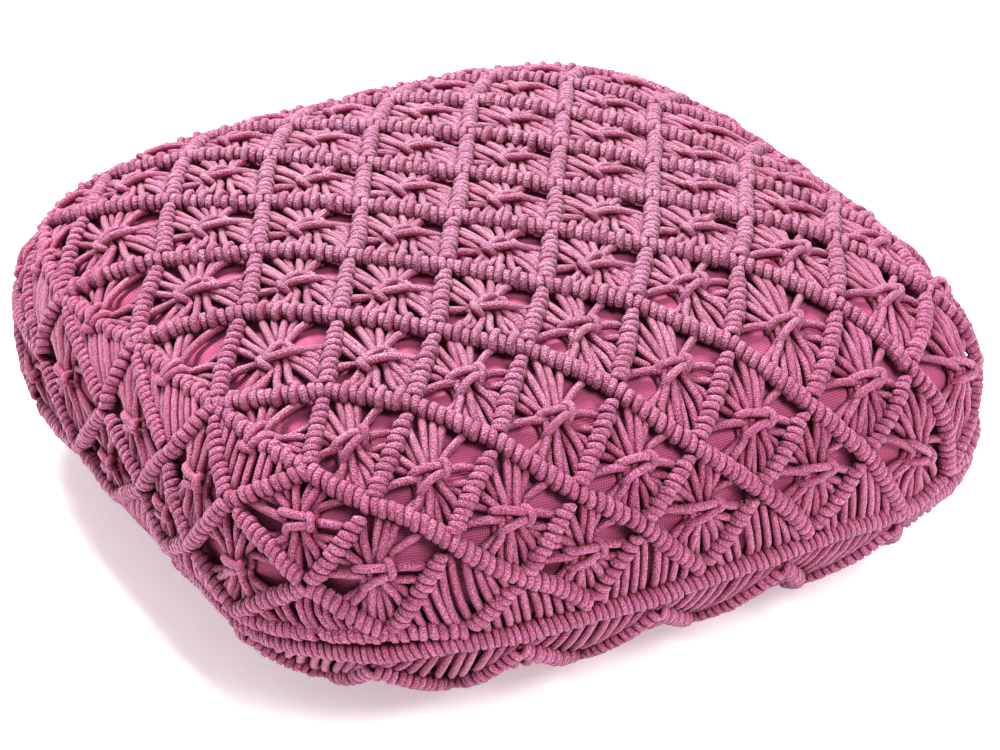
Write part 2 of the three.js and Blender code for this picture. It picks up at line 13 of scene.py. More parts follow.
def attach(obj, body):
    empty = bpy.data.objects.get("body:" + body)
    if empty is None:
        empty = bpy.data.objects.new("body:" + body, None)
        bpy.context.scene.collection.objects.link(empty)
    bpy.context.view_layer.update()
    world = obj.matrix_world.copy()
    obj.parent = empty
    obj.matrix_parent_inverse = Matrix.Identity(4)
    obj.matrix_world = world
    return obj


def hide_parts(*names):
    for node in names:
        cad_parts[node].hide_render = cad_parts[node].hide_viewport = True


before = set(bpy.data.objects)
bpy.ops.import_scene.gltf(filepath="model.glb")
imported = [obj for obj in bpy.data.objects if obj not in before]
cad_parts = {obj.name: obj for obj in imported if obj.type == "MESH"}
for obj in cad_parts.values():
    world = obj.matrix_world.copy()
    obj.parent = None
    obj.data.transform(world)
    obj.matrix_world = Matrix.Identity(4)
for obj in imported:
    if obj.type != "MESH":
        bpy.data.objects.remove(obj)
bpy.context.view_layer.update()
chance = np.random.default_rng(11)

MM = 0.001

# Outer form of the cover, as the frame has it
HALF_WIDTH = 250
PLAN_ROUND = 3.68
WAIST_HEIGHT = 92
CROWN_RISE = 109.6
CROWN_ROUND = 2.5
BASE_DROP = 106.8
BASE_ROUND = 2.77
MIDDLE = np.array([0.0, 0.0, WAIST_HEIGHT])

# The lattice of ribs on the strip: along over the top, shift and pitch of the
# columns, tilt of the row, and where its two edge chains lie
ROW_NAMES = ("along", "shift", "pitch", "tilt", "chain_left", "chain_right")
STRIP_ROWS = [dict(zip(ROW_NAMES, row)) for row in (
    (-315, 20, 35.5, 0.00, -222, 222),
    (-278, 20, 35.5, 0.00, -222, 222),
    (-240, 20, 35.5, 0.00, -215, 215),
    (-200, 20, 35.5, 0.00, -208, 208),
    (-160, 21, 35.5, -0.04, -225, 220),
    (-115, 21, 35.3, -0.07, -243, 228),
    (-65, 24, 35.0, -0.07, -235, 230),
    (-22, 30, 34.6, -0.07, -232, 230),
    (22, 34, 34.8, -0.07, -228, 230),
    (63, 42, 35.9, -0.11, -223, 228),
    (107, 46, 36.3, -0.13, -214, 224),
    (145, 48, 37.1, -0.14, -204, 216),
    (194, 46, 38.3, -0.11, -215, 222),
    (243, 34, 37.2, -0.07, -225, 224),
    (277, 28, 36.0, 0.00, -224, 222),
    (316, 27, 34.8, 0.00, -222, 220),
)]
FIRST_COLUMN, LAST_COLUMN = -7, 5
STRAIGHT_COLUMNS = (-7, -5, 5)
FRONT_EDGE_ROW, BACK_EDGE_ROW = 11, 3
# Crossings that hang lower near the front corners: millimetres, by row and column
CORNER_SAG = {13: {-7: 14}, 14: {-6: 39, -4: 12, 4: 44}, 15: {-7: 12, 3: 16, 5: 14}}

# Crossings of the side panels, front to back: place along the wall and height
SIDE_CROSSINGS = {
    "left": {"lower": ((-134, 131), (-74, 130), (0, 120), (92, 110)),
             "middle": (None, (-110, 93), (-55, 100), (38, 75)),
             "foot": ((-146, 67), (-80, 74), (-14, 70), (104, 68))},
    "right": {"lower": ((-110, 131), (-30, 129), (65, 121), (145, 112)),
              "middle": (None, (-85, 95), (-10, 98), (95, 78)),
              "foot": ((-140, 68), (-48, 73), (42, 70), (140, 69))},
}

# Cord and rib sizes, and how deep the strands lie below the cover's form
CORD_RADIUS = 2.45
COIL_HALF_WIDTH = 2.5
COIL_HALF_THICK = 2.0
STRAND_LIFT = -5.5
TUCKED_LIFT = -8.6


# The form of the cover. A strip point is found by halving the depth this often, along
# the slope of the middle section, which is probed this far to both sides
SECTION_STEPS, OUTLINE_STEPS = 1500, 2001
HALVINGS, PROBE = 30, 0.2


def halves(points):
    """The rise and the rounding of the form above or below its waist."""
    above = points[..., 2] > WAIST_HEIGHT
    return np.where(above, CROWN_RISE, BASE_DROP), np.where(above, CROWN_ROUND, BASE_ROUND)


def plan_reach(points):
    """1 where a point stands straight over or under the widest outline."""
    share = np.abs(points[..., :2] / HALF_WIDTH) ** PLAN_ROUND
    return np.maximum(share.sum(-1), 1e-12) ** (1 / PLAN_ROUND)


def cover_reach(points):
    """1 on the cover, less inside it."""
    rise, rounding = halves(points)
    upright = np.abs(points[..., 2] - WAIST_HEIGHT) / rise
    return (plan_reach(points) ** rounding + upright ** rounding) ** (1 / rounding)


def onto_cover(points):
    """Points moved straight out from the middle of the form, or in, until on the cover."""
    return MIDDLE + (points - MIDDLE) / cover_reach(points)[..., None]


def outward(points):
    """The way that the cover faces at each point."""
    rise, rounding = halves(points)
    plan = points[..., :2]
    flat = np.abs(plan / HALF_WIDTH) ** (PLAN_ROUND - 1) * np.sign(plan) / HALF_WIDTH
    flat = flat * (plan_reach(points) ** (rounding - PLAN_ROUND))[..., None]
    height = points[..., 2] - WAIST_HEIGHT
    upright = (np.abs(height) / rise) ** (rounding - 1) * np.sign(height) / rise
    return unit(np.concatenate([flat, upright[..., None]], axis=-1))


def unit(vectors):
    return vectors / np.maximum(np.linalg.norm(vectors, axis=-1, keepdims=True), 1e-9)


def middle_section():
    """The form cut down its middle, from the crown to the floor, with the length so far."""
    turn = np.linspace(0, math.pi / 2, SECTION_STEPS)
    crown = (HALF_WIDTH * np.sin(turn) ** (2 / CROWN_ROUND),
             WAIST_HEIGHT + CROWN_RISE * np.cos(turn) ** (2 / CROWN_ROUND))
    base = (HALF_WIDTH * np.cos(turn) ** (2 / BASE_ROUND),
            WAIST_HEIGHT - BASE_DROP * np.sin(turn) ** (2 / BASE_ROUND))
    y, z = (np.concatenate([upper, lower[1:]]) for upper, lower in zip(crown, base))
    length = np.concatenate([[0], np.cumsum(np.hypot(np.diff(y), np.diff(z)))])
    return length, y, z


SECTION_LENGTH, SECTION_Y, SECTION_Z = middle_section()


def strip_point(across, along):
    """Where a place of the flat strip lies on the cover."""
    length = abs(along)
    y, z = (np.interp(length, SECTION_LENGTH, side) for side in (SECTION_Y, SECTION_Z))
    beside = (max(length - PROBE, 0), length + PROBE)
    dy, dz = (np.diff(np.interp(beside, SECTION_LENGTH, side))[0]
              for side in (SECTION_Y, SECTION_Z))
    run = math.hypot(dy, dz)
    side = 1 if along < 0 else -1
    x = math.copysign(np.interp(abs(across), SECTION_LENGTH, SECTION_Y), across)
    outside, inside = 0.0, float(HALF_WIDTH)
    for _ in range(HALVINGS):
        drop = (inside + outside) / 2
        point = np.array([x, side * (y + drop * dz / run), z - drop * dy / run])
        if cover_reach(point) < 1:
            inside = drop
        else:
            outside = drop
    return onto_cover(point)


def side_point(side, y, z):
    """A point of a side wall: side -1 is the left wall and 1 the right one."""
    rise, rounding = halves(np.array([0, y, z]))
    plan = (1 - abs((z - WAIST_HEIGHT) / rise) ** rounding) ** (1 / rounding)
    rest = plan ** PLAN_ROUND - abs(y / HALF_WIDTH) ** PLAN_ROUND
    return np.array([side * HALF_WIDTH * rest ** (1 / PLAN_ROUND), y, z])


def plan_outline():
    """The widest outline, with the turn and the share of the way round at each point."""
    turn = np.linspace(0, 2 * math.pi, OUTLINE_STEPS)
    ring = np.stack([np.cos(turn), np.sin(turn), 0 * turn], axis=-1)
    ring = ring / plan_reach(ring)[:, None]
    steps = np.linalg.norm(np.diff(ring, axis=0), axis=1)
    length = np.concatenate([[0], np.cumsum(steps)])
    return turn, length / length[-1], ring


OUTLINE_TURN, OUTLINE_SHARE, OUTLINE = plan_outline()


def around(share, height):
    """A point of the cover a share of the way round, at a height."""
    share, height = np.broadcast_arrays(np.asarray(share, float) % 1, np.asarray(height, float))
    x = np.interp(share, OUTLINE_SHARE, OUTLINE[:, 0])
    y = np.interp(share, OUTLINE_SHARE, OUTLINE[:, 1])
    rise, rounding = halves(np.stack([x, y, height], axis=-1))
    plan = (1 - np.abs((height - WAIST_HEIGHT) / rise) ** rounding) ** (1 / rounding)
    return np.stack([x * plan, y * plan, height], axis=-1)


def set_in_scene(name, data):
    thing = bpy.data.objects.new(name, data)
    bpy.context.scene.collection.objects.link(thing)
    return thing


# Cords, swept in bulk. The knit of each is shifted by up to this much
KNIT_SHIFT = 500


def smooth(marks, steps):
    """Even steps along the smooth curves through rows of marks."""
    marks = np.asarray(marks, float)
    before = 2 * marks[:, :1] - marks[:, 1:2]
    after = 2 * marks[:, -1:] - marks[:, -2:-1]
    marks = np.concatenate([before, marks, after], axis=1)
    place = np.linspace(0, marks.shape[1] - 3, steps)
    start = np.minimum(place.astype(int), marks.shape[1] - 4)
    f = (place - start)[None, :, None]
    a, b, c, d = (marks[:, start + k] for k in range(4))
    return 0.5 * (2 * b + (c - a) * f + (2 * a - 5 * b + 4 * c - d) * f ** 2
                  + (3 * b - a - 3 * c + d) * f ** 3)


class Cords:
    """Many closed cords joined as one mesh, with a lengthwise UV and a tone each.

    Across the UV, a quarter of the way up is the cord's outward side.
    """

    def __init__(self):
        self.points, self.quads, self.tris = [], [], []
        self.quad_uv, self.tri_uv, self.tones = [], [], []
        self.count = 0

    def add(self, paths, ups, wide, thick, sides=6, cap=0.5, squareness=1.0):
        """Sweep one cord along each path; a cap stands out by its share of the width."""
        number, steps, _ = paths.shape
        along = unit(np.gradient(paths, axis=1))
        aside = unit(np.cross(along, ups))
        ups = unit(np.cross(aside, along))
        wide = np.broadcast_to(wide, (number, steps))
        thick = np.broadcast_to(thick, (number, steps))
        turn = np.arange(sides) / sides * 2 * math.pi
        across, upright = (np.sign(part) * np.abs(part) ** squareness
                           for part in (np.cos(turn).round(9), np.sin(turn).round(9)))
        rings = (paths[:, :, None]
                 + aside[:, :, None] * (wide[:, :, None] * across)[..., None]
                 + ups[:, :, None] * (thick[:, :, None] * upright)[..., None])
        poles = np.stack([paths[:, 0] - along[:, 0] * wide[:, :1] * cap,
                          paths[:, -1] + along[:, -1] * wide[:, -1:] * cap], axis=1)
        points = np.concatenate([rings.reshape(number, -1, 3), poles], axis=1)
        per_cord = steps * sides + 2
        start = self.count + np.arange(number)[:, None, None] * per_cord
        place = np.arange(steps * sides).reshape(steps, sides)
        beside = np.roll(place, -1, axis=1)
        quads = np.stack([place[:-1], place[1:], beside[1:], beside[:-1]], axis=-1).reshape(-1, 4)
        pole = np.full(sides, steps * sides)
        caps = np.concatenate([np.stack([pole, place[0], beside[0]], axis=-1),
                               np.stack([pole + 1, beside[-1], place[-1]], axis=-1)])
        self.quads.append((start + quads).reshape(-1, 4))
        self.tris.append((start + caps).reshape(-1, 3))
        outer_side = paths + ups * thick[..., None]
        stretch = np.linalg.norm(np.diff(outer_side, axis=1), axis=2)
        length = np.concatenate([np.zeros((number, 1)), np.cumsum(stretch, axis=1)], axis=1)
        length = (length + chance.uniform(0, KNIT_SHIFT, (number, 1))) * MM
        side = np.arange(sides)
        u = np.repeat(length[:, :, None], sides, axis=2)
        u = np.stack([u[:, :-1], u[:, 1:], u[:, 1:], u[:, :-1]], axis=-1)
        v = np.stack([side, side, side + 1, side + 1], axis=-1) / sides
        cap_u = np.repeat(np.repeat(length[:, [0, -1]], sides, axis=1)[..., None], 3, axis=2)
        cap_v = np.tile(np.stack([side + 0.5, side, side + 1], axis=-1) / sides, (2, 1))
        for kept, along_cord, across_cord in ((self.quad_uv, u, v), (self.tri_uv, cap_u, cap_v)):
            across_cord = np.broadcast_to(across_cord, along_cord.shape)
            kept.append(np.stack([along_cord, across_cord], axis=-1).reshape(-1, 2))
        self.tones.append(np.repeat(chance.uniform(0, 1, number), per_cord))
        self.points.append(points.reshape(-1, 3))
        self.count += number * per_cord

    def piece(self, name, material):
        """The cords as one mesh in metres, set in the scene."""
        points = np.concatenate(self.points) * MM
        quads, tris = np.concatenate(self.quads), np.concatenate(self.tris)
        corners = np.concatenate([quads.ravel(), tris.ravel()])
        mesh = bpy.data.meshes.new(name)
        mesh.vertices.add(len(points))
        mesh.vertices.foreach_set("co", points.ravel())
        mesh.loops.add(len(corners))
        mesh.loops.foreach_set("vertex_index", corners.astype(np.int32))
        mesh.polygons.add(len(quads) + len(tris))
        starts = np.concatenate([np.arange(len(quads)) * 4,
                                 len(quads) * 4 + np.arange(len(tris)) * 3])
        mesh.polygons.foreach_set("loop_start", starts.astype(np.int32))
        mesh.update(calc_edges=True)
        layer = mesh.uv_layers.new(name="cord_uv")
        layer.data.foreach_set("uv", np.concatenate(self.quad_uv + self.tri_uv).ravel())
        tone = mesh.attributes.new("tone", "FLOAT", "POINT")
        tone.data.foreach_set("value", np.concatenate(self.tones))
        mesh.polygons.foreach_set("use_smooth", np.ones(len(mesh.polygons), bool))
        mesh.validate()
        mesh.materials.append(material)
        return set_in_scene(name, mesh)


# Ribs: a holding cord wrapped in hitches, side by side. A hitch winds over the rib
# between two angles, and hitches come in pairs of nearly one size
WOUND_FROM, WOUND_TO = -42, 222
PAIR_SIZES, HITCH_SIZES = (0.95, 1.05), (0.98, 1.02)
HITCH_JITTER, SLANT_JITTER = 0.2, 0.25
HITCH_CAP, COIL_SQUARENESS = 0.4, 0.84


def hitches(cords, centres, along, reach, lift, slant=0.9, half_width=COIL_HALF_WIDTH,
            stagger=0.3, steps=8):
    """One hitch at each centre, wound over the rib from side to side."""
    number = len(centres)
    ups = outward(centres)
    along = unit(along - ups * (along * ups).sum(-1, keepdims=True))
    aside = np.cross(along, ups)
    step_aside = np.where(np.arange(number) % 2, stagger, -stagger)
    centres = centres + aside * (step_aside + chance.normal(0, HITCH_JITTER, number))[:, None]
    lift = lift + chance.normal(0, HITCH_JITTER, number)
    pairs = np.repeat(chance.uniform(*PAIR_SIZES, number // 2 + 1), 2)[:number]
    reach = np.broadcast_to(reach, number) * pairs * chance.uniform(*HITCH_SIZES, number)
    turn = np.radians(np.linspace(WOUND_FROM, WOUND_TO, steps))
    lean = (slant + chance.normal(0, SLANT_JITTER, number))[:, None] * np.cos(turn)
    axis = centres + ups * (lift - reach - COIL_HALF_THICK)[:, None]
    radial = (aside[:, None] * np.cos(turn)[None, :, None]
              + ups[:, None] * np.sin(turn)[None, :, None])
    paths = axis[:, None] + radial * reach[:, None, None] + along[:, None] * lean[..., None]
    cords.add(paths, radial, half_width, COIL_HALF_THICK, cap=HITCH_CAP,
              squareness=COIL_SQUARENESS)


def holding_cord(cords, path, reach, lift):
    """The cord inside a rib, a little thinner than the hitches round it."""
    ups = outward(path)
    cords.add(path + ups * (lift - reach - COIL_HALF_THICK), ups, reach, reach)


# Ribs that run on over a crossing, those that stop at it, and the chains along the
# strip's two edges: how far the hitches reach from the rib's axis, the share of the way
# between crossings where they start and end, lift, pitch, bow aside and stagger
RIB_KINDS = {
    "running": {"reach": 3.5, "from": 0.0, "to": 1.0, "lift": 1.0, "pitch": 4.9, "bow": 1.4,
                "stagger": 0.25},
    "stopped": {"reach": 3.3, "from": 0.12, "to": 0.93, "lift": 0.6, "pitch": 4.6, "bow": 0.8,
                "stagger": 0.35},
    "chain": {"reach": 3.2, "from": 0.0, "to": 1.0, "lift": 0.6, "pitch": 5.3, "bow": 0.5,
              "stagger": 0.8},
}
TIP_REACH = (0.62, 0.9)
COIL_SPREAD = 0.545
PAIR_DRAW = 0.03
RIB_SLANT = 1.0
HOLDING_INSET, HOLDING_SHARE, HOLDING_MARKS = 0.04, 0.85, 5
rib_lines = []


def hitch_count(start, end, kind):
    """Two hitches for each strand that crosses the rib."""
    values = RIB_KINDS[kind]
    length = np.linalg.norm(end - start) * (values["to"] - values["from"])
    return 2 * max(2, round(length / values["pitch"] / 2))


def rib(cords, start, end, kind):
    """A rib between two crossings, bowed a little aside."""
    values = RIB_KINDS[kind]
    first, last = values["from"], values["to"]
    number = hitch_count(start, end, kind)
    bow = chance.normal(0, values["bow"])

    def centre(share):
        straight_line = start + (end - start) * share[:, None]
        aside = unit(np.cross(end - start, outward(onto_cover(straight_line))))
        return onto_cover(straight_line + aside * (bow * np.sin(share * math.pi))[:, None])

    place = np.arange(number) + 0.5 + np.where(np.arange(number) % 2, -PAIR_DRAW, PAIR_DRAW)
    share = first + (last - first) * place / number
    centres = centre(share)
    rib_lines.append(centres)
    reach = np.full(number, float(values["reach"]))
    if kind == "stopped":
        reach[:2] *= TIP_REACH
    hitches(cords, centres, np.gradient(centres, axis=0), reach, values["lift"],
            slant=RIB_SLANT, half_width=values["pitch"] * COIL_SPREAD,
            stagger=values["stagger"])
    inside = np.linspace(first + HOLDING_INSET, last - HOLDING_INSET, HOLDING_MARKS)
    holding_cord(cords, centre(inside)[None], values["reach"] * HOLDING_SHARE, values["lift"])


# Cells of the lattice
class Cell:
    """The space between four crossings. One that isn't given is found from the others."""

    def __init__(self, corners):
        self.given = corners
        at = {key: place for key, (_, place) in corners.items()}
        for key, beside, other, across in (
                ("top", "left", "right", "bottom"), ("bottom", "left", "right", "top"),
                ("left", "top", "bottom", "right"), ("right", "top", "bottom", "left")):
            if key not in at:
                at[key] = at[beside] + at[other] - at[across]
        self.at = at
        self.half_width = np.linalg.norm(at["right"] - at["left"]) / 2
        self.half_height = np.linalg.norm(at["bottom"] - at["top"]) / 2

    def lay(self, marks):
        """Marks are rows of share across, share down and lift."""
        across, down, lift = marks[..., 0], marks[..., 1], marks[..., 2:3]
        s, t = (1 + across + down)[..., None] / 2, (1 - across + down)[..., None] / 2
        spot = (self.at["top"] * (1 - s) * (1 - t) + self.at["right"] * s * (1 - t)
                + self.at["left"] * (1 - s) * t + self.at["bottom"] * s * t)
        spot = onto_cover(spot)
        ups = outward(spot)
        return spot + ups * lift, ups

    def cord(self, cords, marks, steps, sides=6):
        paths, ups = self.lay(smooth(marks, steps))
        cords.add(paths, ups, CORD_RADIUS, CORD_RADIUS, sides)


# Strands of the fans on the knot's near side and on its bump's side: the share of
# the way along the rib where each leaves it, then its place and layer in the
# bundle under the knot (millimetres)
NEAR_UPPER = ((0.42, 8.4, -8.8), (0.56, 6.4, -5.2), (0.70, 4.2, -8.8), (0.85, 2.1, -4.9))
NEAR_LOWER = ((0.40, 8.6, -8.6), (0.54, 6.6, -5.2), (0.68, 4.4, -8.8), (0.81, 2.4, -4.8),
              (0.92, 0.6, -8.6))
BUMP_UPPER = ((0.34, 8.6, -8.6), (0.62, 5.2, -8.8), (0.76, 3.4, -4.8), (0.88, 0.2, -7.4))
BUMP_LOWER = ((0.40, 7.6, -8.2), (0.58, 5.6, -8.8), (0.73, 4.0, -5.0), (0.88, 2.0, -8.4))
# On the top the near fan is wider, and the strands on the bump's lower side go over the rib
TOP_NEAR_UPPER = ((0.29, 9.8, -6.9), *NEAR_UPPER)
OVER_CREST = ((0.27, 12.5, -6.4), (0.42, 7.4, -5.6), (0.58, 3.4, -5.2), (0.74, -2.0, -5.6))
TOP_NEAR_LOWER = ((0.50, 11.0, -5.6), (0.60, 9.6, -3.9), (0.70, 7.6, -6.0), (0.81, 5.2, -4.2),
                  (0.92, 3.0, -6.6))
# How a strand leaves its rib: tucked under it (shares of the way out from the middle
# of the cell, and lifts), or over its crest as one of its hitches (millimetres beyond
# the middle of the rib, and lifts)
TUCKED_ROOT = ((0.97, TUCKED_LIFT), (0.85, STRAND_LIFT - 1.3))
CREST_ROOT = ((4.3, -6.6), (4.3, -3.2), (2.8, -0.7), (0.0, 0.2), (-3.2, -0.8), (-7.0, -3.0))
# How it goes on: bowed out on its way, then into the knot (shares of its place there and
# of the knot's edge, and a rise at the end)
UPPER_BOW, LOWER_BOW = 1.03, 1.16
ROOT_PART, KNOT_PART = 0.55, 0.45
ROOT_LIFT_PART, KNOT_LIFT_PART = 0.6, 0.4
KNOT_EDGE = 7.6
BUNDLE = ((1.04, 1, 0), (0.97, 0.5, 0), (0.93, 0, 1.3))
SHARE_JITTER, ENTRY_JITTER, DROOP_JITTER = 0.012, 0.3, 0.3
STRAND_STEPS, CREST_STEPS = 8, 15


def fan(cell, cords, side, end, strands, over_crest=False):
    """Strands from one rib to the knot: side -1 or 1 across, end -1 up or 1 down."""
    rows = []
    rib_length = math.hypot(cell.half_width, cell.half_height)
    beyond = np.array([side * cell.half_height / cell.half_width,
                       end * cell.half_width / cell.half_height]) / rib_length
    number = hitch_count(cell.at["right" if side > 0 else "left"],
                         cell.at["bottom" if end > 0 else "top"], "running")
    taken = set()    # no two strands go over the rib as one hitch
    for share, entry, layer in strands:
        share = share + chance.normal(0, SHARE_JITTER)
        if over_crest:
            hitch = 2 * int(share * number / 2)
            while hitch in taken:
                hitch += 2
            taken.add(hitch)
            share = (hitch + 0.5) / number
        out, down = side * (1 - share), end * share
        knot = side * (entry + chance.normal(0, ENTRY_JITTER)) / cell.half_width
        edge = end * KNOT_EDGE / cell.half_height
        bow = LOWER_BOW if end > 0 else UPPER_BOW
        droop = chance.normal(0, DROOP_JITTER)
        if over_crest:
            root = [(out + beyond[0] * reach, down + beyond[1] * reach, lift)
                    for reach, lift in CREST_ROOT]
        else:
            root = [(out * reach, down * reach, lift) for reach, lift in TUCKED_ROOT]
        way = ((out * ROOT_PART + knot * KNOT_PART) * bow, down * ROOT_PART + edge * KNOT_PART,
               STRAND_LIFT * ROOT_LIFT_PART + layer * KNOT_LIFT_PART + droop)
        bundle = [(knot * inward, edge * above, layer + rise) for inward, above, rise in BUNDLE]
        rows.append([*root, way, *bundle])
    cell.cord(cords, rows, CREST_STEPS if over_crest else STRAND_STEPS)


# The turns of a square knot drawn up to the right, on the walls and on the top: across,
# down and lift in millimetres
WALL_FIRST_TURN = ((-6.8, -3.0, -9.8), (-10.0, -4.4, -8.2), (-9.9, -5.2, -4.4),
                   (-6.6, -4.9, -1.6), (-2.0, -4.0, -0.7), (3.2, -2.6, -0.9), (7.6, -1.0, -2.8))
WALL_SECOND_TURN = ((7.8, 1.6, -3.4), (4.2, 2.2, -1.2), (0.0, 3.1, -0.7), (-3.8, 4.1, -1.4),
                    (-6.6, 5.2, -3.6), (-8.2, 6.0, -7.0), (-8.8, 6.4, -9.4))
TOP_FIRST_TURN = ((-6.8, -3.2, -9.4), (-7.6, -3.4, -6.2), (-5.6, -3.4, -2.6), (-1.6, -3.0, -0.9),
                  (3.2, -2.2, -0.9), (7.6, -1.0, -2.8))
TOP_SECOND_TURN = ((7.8, -0.4, -3.4), (4.2, 1.6, -1.2), (0.0, 4.0, -0.5), (-5.0, 6.8, -0.6),
                   (-10.0, 9.6, -2.0))
BUMP_TURN = ((4.4, -4.6, -9.6), (5.8, -4.5, -6.2), (7.6, -3.6, -2.3), (8.9, -1.7, -0.8),
             (9.4, 0.4, -0.6), (8.8, 2.3, -1.3), (7.2, 3.8, -4.2), (5.0, 4.2, -8.8))
NEAR_CORD = ((-0.80, -0.17, -8.6), (-0.62, -0.15, -6.2), (-0.44, -0.12, -4.8),
             (-0.27, -0.07, -3.8), (-0.12, -0.02, -4.8))
FAR_CORD = ((0.26, 0.02, -6.4), (0.42, 0.07, -5.4), (0.57, 0.15, -5.8), (0.71, 0.24, -8.6))
# On the top the second turn goes on to a rib: the share along it, then how it tucks in
TAIL_SHARE = 0.39
TAIL = ((0.84, -5.4), (0.97, TUCKED_LIFT))
COMPACT_SIZE = 0.78
LEAN_JITTER, TURN_JITTER, OPENINGS = 0.09, 0.2, (0.85, 1.12)
TURN_STEPS, TURN_SIDES, SIDE_CORD_STEPS = 14, 8, 7


def square_knot(cell, cords, bump, on_top, whole, compact):
    """Two turns over the strands, drawn up to a bump at one side: 1 right, -1 left."""
    size = np.array([cell.half_width, cell.half_height, 1])
    sides = np.array([bump, 1, 1])
    lean, opening = chance.normal(0, LEAN_JITTER), chance.uniform(*OPENINGS)

    def turned(marks):
        moved = np.array(marks) + chance.normal(0, TURN_JITTER, (len(marks), 3))
        moved[:, 1] = moved[:, 1] * opening + moved[:, 0] * lean
        if compact:
            moved[:, :2] *= COMPACT_SIZE
        return list(moved / size)

    if on_top:
        first_turn, second_turn = turned(TOP_FIRST_TURN), turned(TOP_SECOND_TURN)
        second_turn += [((TAIL_SHARE - 1) * part, TAIL_SHARE * part, lift) for part, lift in TAIL]
    else:
        first_turn, second_turn = turned(WALL_FIRST_TURN), turned(WALL_SECOND_TURN)
        if not compact:
            cell.cord(cords, [np.array(NEAR_CORD) * sides], SIDE_CORD_STEPS)
    for marks in (first_turn, second_turn, turned(BUMP_TURN)):
        cell.cord(cords, [np.array(marks) * sides], TURN_STEPS, TURN_SIDES)
    if whole and not compact:
        cell.cord(cords, [np.array(FAR_CORD) * sides], SIDE_CORD_STEPS)


def star(cell, strands, knots, bump, on_top=False, whole=True, compact=False):
    """A knot with its fans. A cell at the strip's edge isn't whole and has only the near fans."""
    fan(cell, strands, -bump, -1, TOP_NEAR_UPPER if on_top else NEAR_UPPER)
    fan(cell, strands, -bump, 1, TOP_NEAR_LOWER if on_top else NEAR_LOWER)
    if whole:
        fan(cell, strands, bump, -1, BUMP_UPPER)
        fan(cell, strands, bump, 1, OVER_CREST if on_top else BUMP_LOWER, over_crest=on_top)
    square_knot(cell, knots, bump, on_top, whole, compact)


# Straight strands: spacing in millimetres, share of the cell they fill, how far they go
# past its middle where it is open above or below, and where they tuck in and turn
STRAIGHT_SPACING = 6.3
STRAIGHT_EDGE = 0.71
PAST_EDGE = 0.16
STRAIGHT_TUCK, STRAIGHT_TURN, STRAIGHT_RISE = 0.97, (0.8, 0.2), 0.8
STRAIGHT_LEAN, STRAIGHT_LEAN_JITTER = 0.03, 0.03
SPACING_JITTER, DRIFT_JITTER, LIFT_JITTER = 0.018, 0.014, 0.5


def straight(cell, cords, upper=True, lower=True):
    """Strands hanging side by side from the ribs above to what is below."""
    rows = []
    near, far = STRAIGHT_TURN
    lean = chance.normal(STRAIGHT_LEAN, STRAIGHT_LEAN_JITTER)
    number = round(2 * STRAIGHT_EDGE * cell.half_width / STRAIGHT_SPACING) + 1
    for share in np.linspace(-STRAIGHT_EDGE, STRAIGHT_EDGE, number):
        share = share + chance.normal(0, SPACING_JITTER)
        reach = 1 - abs(share)
        top = -reach if upper else -PAST_EDGE
        foot = reach if lower else PAST_EDGE
        lift = STRAND_LIFT + chance.normal(0, LIFT_JITTER)
        drift = chance.normal(0, DRIFT_JITTER)
        rows.append([
            (share - lean, top * STRAIGHT_TUCK, TUCKED_LIFT),
            (share - lean, top * near + foot * far, lift),
            (share + drift, (top + foot) / 2, lift + STRAIGHT_RISE),
            (share + lean + drift, top * far + foot * near, lift),
            (share + lean, foot * STRAIGHT_TUCK, TUCKED_LIFT),
        ])
    cell.cord(cords, rows, STRAND_STEPS)


# Crossings: a name for each, and its point on the cover. A side panel is four cells long
SIDE_CELLS = 4


def strip_corner(column, row):
    line = STRIP_ROWS[row]
    across = line["shift"] + line["pitch"] * column
    if column == FIRST_COLUMN:
        across = line["chain_left"]
    if column == LAST_COLUMN:
        across = line["chain_right"]
    along = line["along"] + line["tilt"] * across + CORNER_SAG.get(row, {}).get(column, 0)
    return (column, row), strip_point(across, along)


def side_corner(side, level, step):
    """A crossing of a side panel. The panel shares some with the strip."""
    edge = FIRST_COLUMN if side == "left" else LAST_COLUMN
    if level == "chain":
        return strip_corner(edge, FRONT_EDGE_ROW - 2 * step)
    if level == "middle" and step == 0:
        return strip_corner(edge, FRONT_EDGE_ROW + 2)
    if level == "middle" and step == SIDE_CELLS:
        return strip_corner(edge, BACK_EDGE_ROW - 2)
    sign = -1 if side == "left" else 1
    return (side, level, step), side_point(sign, *SIDE_CROSSINGS[side][level][step])


# The cover, cell by cell
class Panel:
    """One knotted piece: running ribs, stopped ribs, strands, and knots with the chains."""

    def __init__(self):
        self.ribs, self.crossings = Cords(), Cords()
        self.strands, self.knots = Cords(), Cords()


laid_ribs = set()


def lay_ribs(panel, cell, strong):
    """Ribs round a cell: the strong ones go from the top to one side."""
    weak = "left" if strong == "right" else "right"
    for first, second, kind in (("top", strong, "running"), (weak, "bottom", "running"),
                                ("top", weak, "stopped"), (strong, "bottom", "stopped")):
        if first not in cell.given or second not in cell.given:
            continue
        (name_a, start), (name_b, end) = cell.given[first], cell.given[second]
        key = frozenset((name_a, name_b))
        if key in laid_ribs:
            continue
        laid_ribs.add(key)
        rib(panel.ribs if kind == "running" else panel.crossings, start, end, kind)


